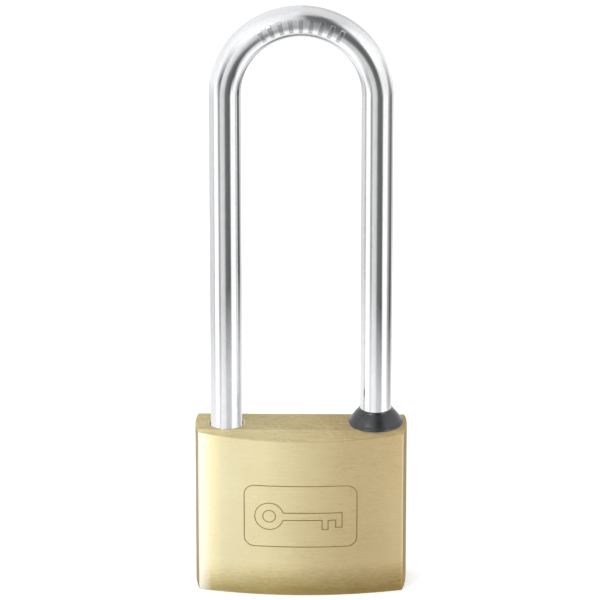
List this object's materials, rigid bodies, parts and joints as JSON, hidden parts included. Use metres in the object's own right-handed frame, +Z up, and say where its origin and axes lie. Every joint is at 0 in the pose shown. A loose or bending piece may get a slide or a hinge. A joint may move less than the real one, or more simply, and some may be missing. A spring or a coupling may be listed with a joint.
{
  "type": "padlock",
  "caption": "Solid brass pin-tumbler padlock with a long chromed shackle, a round elastomer collar on one leg and a keyed cylinder in the underside.",
  "frame": {"origin": "middle of the flat underside of the brass body", "axes": "+Z up, along the shackle's legs; +X from the toe leg towards the heel leg that carries the collar; -Y out of the engraved front face"},
  "size_m": [0.05, 0.0184, 0.1444],
  "materials": {
    "brass": "brushed",
    "plug_brass": "turned",
    "chrome": "polished",
    "collar": "satin",
    "steel": "ground",
    "spring_steel": "drawn wire"
  },
  "bodies": {
    "lock_body": {"body": "brass", "shackle_spring": "spring_steel", "heel_pin": "steel", "plug_retaining_pin": "steel", "driver_pin_1": "steel", "driver_pin_2": "steel", "driver_pin_3": "steel", "driver_pin_4": "steel", "driver_pin_5": "steel", "pin_spring_1": "spring_steel", "pin_spring_2": "spring_steel", "pin_spring_3": "spring_steel", "pin_spring_4": "spring_steel", "pin_spring_5": "spring_steel", "chamber_plug_1": "brass", "chamber_plug_2": "brass", "chamber_plug_3": "brass", "chamber_plug_4": "brass", "chamber_plug_5": "brass", "latch_spring": "spring_steel", "latch_bore_plug": "brass"},
    "shackle_body": {"shackle": "chrome", "collar": "collar"},
    "cylinder": {"cylinder_plug": "plug_brass", "drive_pin": "steel", "key_pin_1": "plug_brass", "key_pin_2": "plug_brass", "key_pin_3": "plug_brass", "key_pin_4": "plug_brass", "key_pin_5": "plug_brass"},
    "latch_body": {"latch": "steel"}
  },
  "joints": [
    {"name": "shackle_lift", "type": "slide", "parent": "lock_body", "child": "shackle_body", "axis": [0, 0, 1], "range_m": [0, 0.013], "deforming": ["shackle_spring"]},
    {"name": "plug_turn", "type": "hinge", "parent": "lock_body", "child": "cylinder", "pos_m": [0, 0, 0], "axis": [0, 0, 1], "range_deg": [-90, 0]},
    {"name": "latch_slide", "type": "slide", "parent": "lock_body", "child": "latch_body", "axis": [-1, 0, 0], "range_m": [0, 0.0024], "deforming": ["latch_spring"]}
  ],
  "couplings": [
    {"joint": "latch_slide", "follows": "plug_turn", "m_per_rad": -0.0015278}
  ]
}
